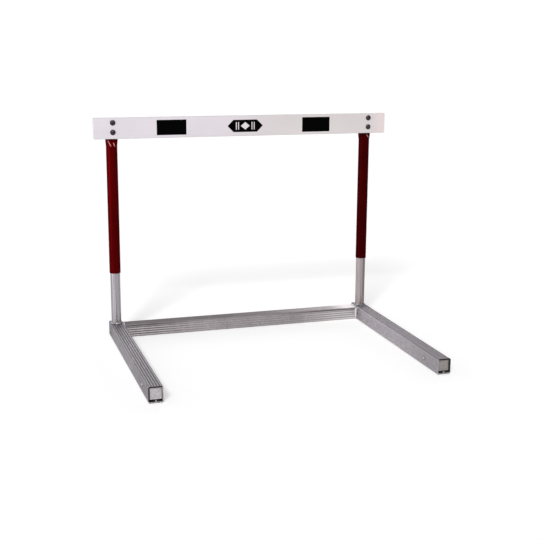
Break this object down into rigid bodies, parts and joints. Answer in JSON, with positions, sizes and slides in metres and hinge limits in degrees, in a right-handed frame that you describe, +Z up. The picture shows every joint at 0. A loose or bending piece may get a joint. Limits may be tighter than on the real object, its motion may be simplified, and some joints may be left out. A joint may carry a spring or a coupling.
{
  "type": "adjustable hurdle",
  "caption": "Adjustable hurdle: a white gate board on two telescoping uprights, on a U-shaped base of ribbed extrusion with a sliding counterweight in each leg.",
  "frame": {"origin": "on the floor under the middle of the whole object's box, with the gate at its lowest height", "axes": "+X along the gate board, +Z up, and the legs point along -Y, so +Y is the side of the uprights"},
  "size_m": [1.0414, 0.7262, 0.762],
  "materials": {
    "extrusion": "mill finish, drawn along its length, satin",
    "bare_tube": "drawn, rubbed bright by the sleeve",
    "weld": "rippled weld bead",
    "maroon_paint": "glossy dark maroon powder coat",
    "board": "smooth white, satin",
    "black_panel": "matt black",
    "dark_bolt": "dark plated, domed head",
    "plated_steel": "zinc plated",
    "spring_steel": "bare spring strip",
    "cast_weight": "galvanised casting, slightly rough",
    "plug": "moulded black"
  },
  "bodies": {
    "base": {"leg_left": "extrusion", "leg_right": "extrusion", "rear_bar": "extrusion", "lower_tube_left": "bare_tube", "lower_tube_right": "bare_tube", "foot_weld_left": "weld", "foot_weld_right": "weld", "corner_weld_left": "weld", "corner_weld_right": "weld", "top_weld_left": "weld", "top_weld_right": "weld", "rear_plug_left": "plug", "rear_plug_right": "plug", "detent_spring_left": "spring_steel", "detent_spring_right": "spring_steel", "detent_rivet_left": "plated_steel", "detent_rivet_right": "plated_steel", "button_spring_left": "spring_steel", "button_spring_right": "spring_steel"},
    "gate": {"gate_board": "board", "black_panel_left": "black_panel", "black_panel_right": "black_panel", "centre_mark": "black_panel", "upper_tube_left": "maroon_paint", "upper_tube_right": "maroon_paint", "gate_bolt_left_upper": "dark_bolt", "gate_bolt_left_lower": "dark_bolt", "gate_bolt_right_upper": "dark_bolt", "gate_bolt_right_lower": "dark_bolt", "gate_washer_left_upper": "plated_steel", "gate_washer_left_lower": "plated_steel", "gate_washer_right_upper": "plated_steel", "gate_washer_right_lower": "plated_steel", "gate_nut_left_upper": "plated_steel", "gate_nut_left_lower": "plated_steel", "gate_nut_right_upper": "plated_steel", "gate_nut_right_lower": "plated_steel"},
    "left_button": {"lock_button_left": "plated_steel"},
    "right_button": {"lock_button_right": "plated_steel"},
    "left_weight": {"counterweight_left": "cast_weight"},
    "right_weight": {"counterweight_right": "cast_weight"}
  },
  "joints": [
    {"name": "gate_height", "type": "slide", "parent": "base", "child": "gate", "axis": [0, 0, 1], "range_m": [0, 0.3048]},
    {"name": "left_button_press", "type": "slide", "parent": "base", "child": "left_button", "axis": [0, -1, 0], "range_m": [0, 0.006], "stiffness_N_per_m": 2500, "springref_m": -0.002, "deforming": ["button_spring_left"]},
    {"name": "right_button_press", "type": "slide", "parent": "base", "child": "right_button", "axis": [0, -1, 0], "range_m": [0, 0.006], "stiffness_N_per_m": 2500, "springref_m": -0.002, "deforming": ["button_spring_right"]},
    {"name": "left_weight_slide", "type": "slide", "parent": "base", "child": "left_weight", "axis": [0, 1, 0], "range_m": [0, 0.45], "deforming": ["detent_spring_left"]},
    {"name": "right_weight_slide", "type": "slide", "parent": "base", "child": "right_weight", "axis": [0, 1, 0], "range_m": [0, 0.45], "deforming": ["detent_spring_right"]}
  ]
}
